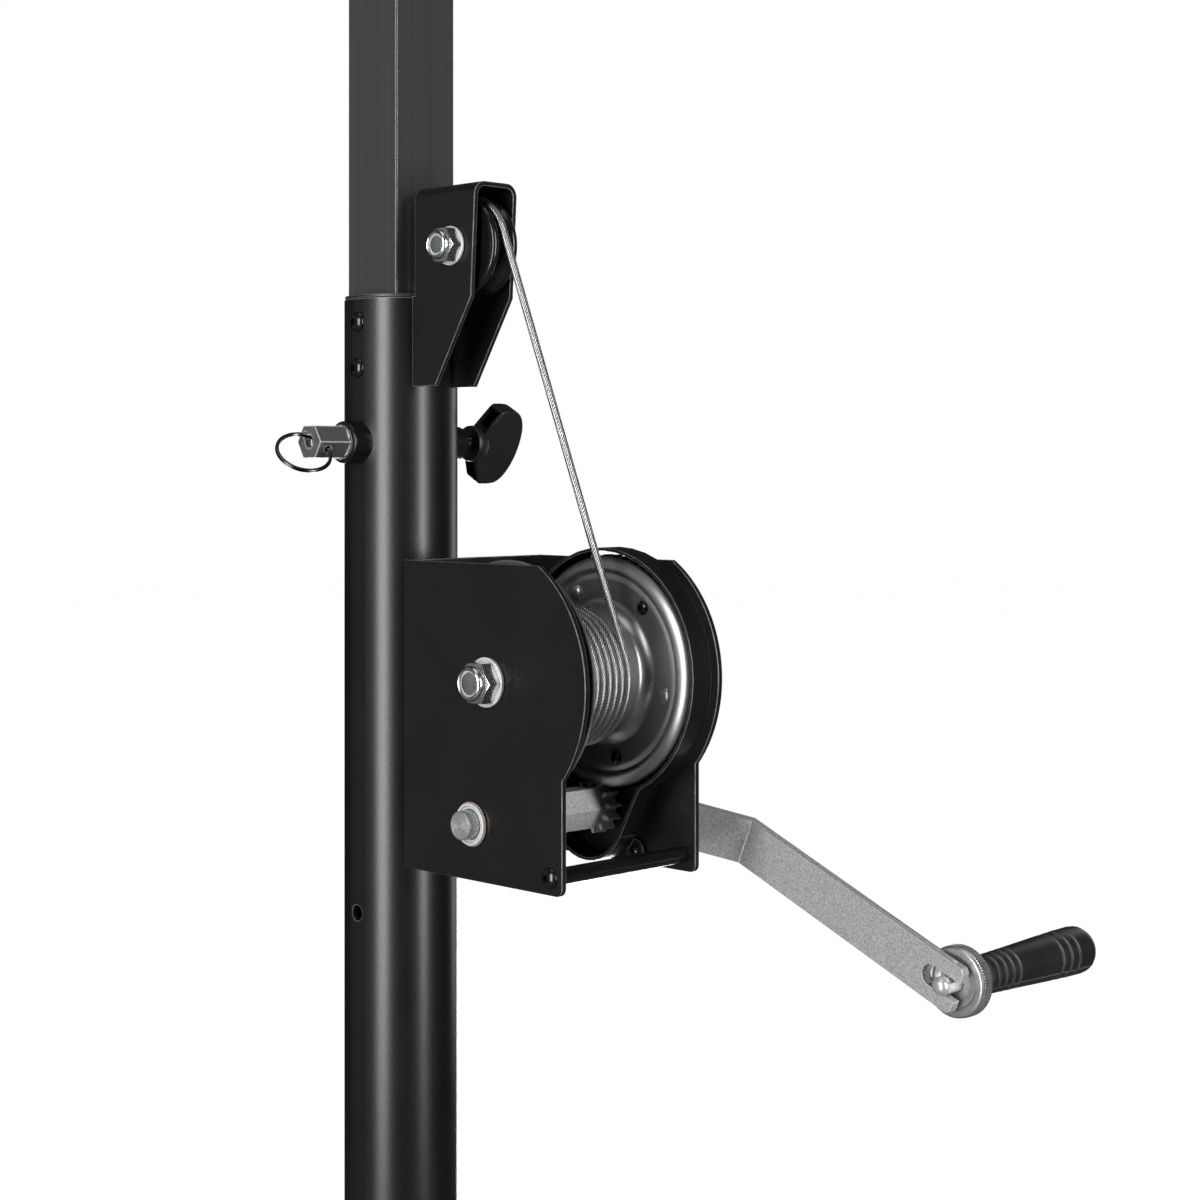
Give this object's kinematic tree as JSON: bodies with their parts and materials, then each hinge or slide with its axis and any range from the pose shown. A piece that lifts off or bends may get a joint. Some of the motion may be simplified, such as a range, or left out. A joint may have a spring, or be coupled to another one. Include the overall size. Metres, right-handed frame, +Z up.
{
  "type": "crank lighting stand",
  "caption": "Wind-up lighting stand: round lower tube on a folding tripod, square sliding mast, wire rope over a pulley and a hand-cranked drum winch.",
  "frame": {"origin": "centre of the base plug's underside, on the axis of both masts", "axes": "+Z up along the masts, -Y towards the winch drum (the front), +X on the crank side"},
  "size_m": [1.3738, 1.1942, 1.91],
  "materials": {
    "black_coat": "satin black powder coat",
    "mast_grey": "satin dark grey",
    "black_plastic": "fine moulded texture",
    "black_rubber": "matte",
    "zinc": "bright zinc plate",
    "dull_zinc": "speckled matte zinc plate",
    "bright_steel": "bright steel",
    "rope_steel": "galvanised strand"
  },
  "bodies": {
    "root": {"outer_tube": "black_coat", "guide_bush": "black_plastic", "guide_screw_upper": "black_coat", "guide_screw_lower": "black_coat", "base_plug": "black_plastic", "pulley_bracket": "black_coat", "pulley_bolt": "zinc", "pulley_nut": "zinc", "plunger_boss": "black_coat", "plunger_spring": "bright_steel", "clamp_boss": "black_coat", "winch_mount": "black_coat", "side_plate_left": "black_coat", "side_plate_right": "black_coat", "back_plate": "black_coat", "gear_guard": "black_coat", "guard_screw": "black_coat", "spacer_rod": "black_coat", "rod_screw_left": "black_coat", "rod_screw_right": "black_coat", "drum_axle": "zinc", "drum_axle_nut": "zinc", "ratchet_wheel": "dull_zinc", "cable_run": "rope_steel", "cable_inner": "rope_steel", "leg_hub": "black_coat"},
    "mast": {"inner_mast": "mast_grey", "mast_slider": "black_plastic", "cable_anchor": "zinc", "mast_head": "dull_zinc"},
    "drum": {"drum": "zinc", "drum_gear": "dull_zinc", "rope_winding": "rope_steel"},
    "crank": {"drive_shaft": "zinc", "shaft_circlip": "bright_steel", "hex_sleeve": "zinc", "pinion": "zinc", "friction_disc": "dull_zinc", "crank_arm": "dull_zinc", "crank_nut": "zinc"},
    "handle": {"handle_spindle": "bright_steel"},
    "handle_collar": {"knurled_disc": "dull_zinc"},
    "grip": {"grip": "black_plastic"},
    "pulley": {"pulley": "black_plastic"},
    "plunger": {"plunger_head": "zinc", "plunger_pin": "bright_steel"},
    "pull_ring": {"pull_ring": "bright_steel"},
    "clamp_knob": {"clamp_knob": "black_plastic"},
    "pawl": {"pawl": "dull_zinc"},
    "brace_collar": {"brace_collar": "black_coat"},
    "collar_knob": {"collar_knob": "black_plastic"},
    "leg_1": {"leg_1": "black_coat", "foot_1": "black_rubber"},
    "brace_1": {"brace_1": "black_coat"},
    "leg_2": {"leg_2": "black_coat", "foot_2": "black_rubber"},
    "brace_2": {"brace_2": "black_coat"},
    "leg_3": {"leg_3": "black_coat", "foot_3": "black_rubber"},
    "brace_3": {"brace_3": "black_coat"}
  },
  "joints": [
    {"name": "mast_lift", "type": "slide", "parent": "root", "child": "mast", "axis": [0, 0, 1], "range_m": [0, 1.1], "deforming": ["cable_inner"]},
    {"name": "drum_spin", "type": "hinge", "parent": "root", "child": "drum", "pos_m": [0, -0.121, 1.289], "axis": [1, 0, 0], "range_deg": [0, 1893]},
    {"name": "crank_spin", "type": "hinge", "parent": "root", "child": "crank", "pos_m": [0, -0.10969, 1.21992], "axis": [1, 0, 0], "range_deg": [-9149, 0]},
    {"name": "pulley_spin", "type": "hinge", "parent": "root", "child": "pulley", "pos_m": [0, -0.0576, 1.5043], "axis": [1, 0, 0], "range_deg": [0, 2594]},
    {"name": "handle_fold", "type": "hinge", "parent": "crank", "child": "handle", "pos_m": [0.1, -0.28254, 1.14726], "axis": [0, 0.3875, -0.9219], "range_deg": [0, 90]},
    {"name": "collar_slide_out", "type": "slide", "parent": "handle", "child": "handle_collar", "axis": [1, 0, 0], "range_m": [0, 0.012]},
    {"name": "grip_spin", "type": "hinge", "parent": "handle_collar", "child": "grip", "pos_m": [0.16, -0.28254, 1.14726], "axis": [1, 0, 0], "continuous": true},
    {"name": "plunger_pull", "type": "slide", "parent": "root", "child": "plunger", "axis": [-1, 0, 0], "range_m": [0, 0.008], "stiffness_N_per_m": 600, "springref_m": -0.004},
    {"name": "ring_swing", "type": "hinge", "parent": "plunger", "child": "pull_ring", "pos_m": [-0.05775, -0.00335, 1.40385], "axis": [0.5153, -0.7164, -0.4703], "range_deg": [-12, 12]},
    {"name": "clamp_turn", "type": "hinge", "parent": "root", "child": "clamp_knob", "pos_m": [0.05, 0, 1.4047], "axis": [1, 0, 0], "range_deg": [0, 360]},
    {"name": "pawl_lift", "type": "hinge", "parent": "root", "child": "pawl", "pos_m": [-0.04, -0.14269, 1.23292], "axis": [1, 0, 0], "range_deg": [-20, 0]},
    {"name": "leg_1_fold", "type": "hinge", "parent": "root", "child": "leg_1", "pos_m": [0, 0.046, 0.7], "axis": [-1, 0, 0], "range_deg": [0, 42]},
    {"name": "brace_1_turn", "type": "hinge", "parent": "leg_1", "child": "brace_1", "pos_m": [0, 0.24674, 0.47706], "axis": [-1, 0, 0], "range_deg": [-84, 0]},
    {"name": "leg_2_fold", "type": "hinge", "parent": "root", "child": "leg_2", "pos_m": [-0.03984, -0.023, 0.7], "axis": [0.5, -0.866, 0], "range_deg": [0, 42]},
    {"name": "brace_2_turn", "type": "hinge", "parent": "leg_2", "child": "brace_2", "pos_m": [-0.21368, -0.12337, 0.47706], "axis": [0.5, -0.866, 0], "range_deg": [-84, 0]},
    {"name": "leg_3_fold", "type": "hinge", "parent": "root", "child": "leg_3", "pos_m": [0.03984, -0.023, 0.7], "axis": [0.5, 0.866, 0], "range_deg": [0, 42]},
    {"name": "brace_3_turn", "type": "hinge", "parent": "leg_3", "child": "brace_3", "pos_m": [0.21368, -0.12337, 0.47706], "axis": [0.5, 0.866, 0], "range_deg": [-84, 0]},
    {"name": "collar_slide", "type": "slide", "parent": "root", "child": "brace_collar", "axis": [0, 0, -1], "range_m": [0, 0.1543]},
    {"name": "collar_knob_turn", "type": "hinge", "parent": "brace_collar", "child": "collar_knob", "pos_m": [0.0433, 0.025, 0.25411], "axis": [0.866, 0.5, 0], "range_deg": [0, 360]}
  ],
  "couplings": [
    {"joint": "drum_spin", "follows": "mast_lift", "rad_per_m": 30.03},
    {"joint": "crank_spin", "follows": "mast_lift", "rad_per_m": -145.15},
    {"joint": "pulley_spin", "follows": "mast_lift", "rad_per_m": 41.152},
    {"joint": "collar_slide_out", "follows": "handle_fold", "m_per_rad": 0.0076},
    {"joint": "brace_1_turn", "follows": "leg_1_fold", "ratio": -2},
    {"joint": "leg_2_fold", "follows": "leg_1_fold", "ratio": 1},
    {"joint": "brace_2_turn", "follows": "leg_1_fold", "ratio": -2},
    {"joint": "leg_3_fold", "follows": "leg_1_fold", "ratio": 1},
    {"joint": "brace_3_turn", "follows": "leg_1_fold", "ratio": -2},
    {"joint": "collar_slide", "follows": "leg_1_fold", "m_per_rad": 0.21024}
  ]
}
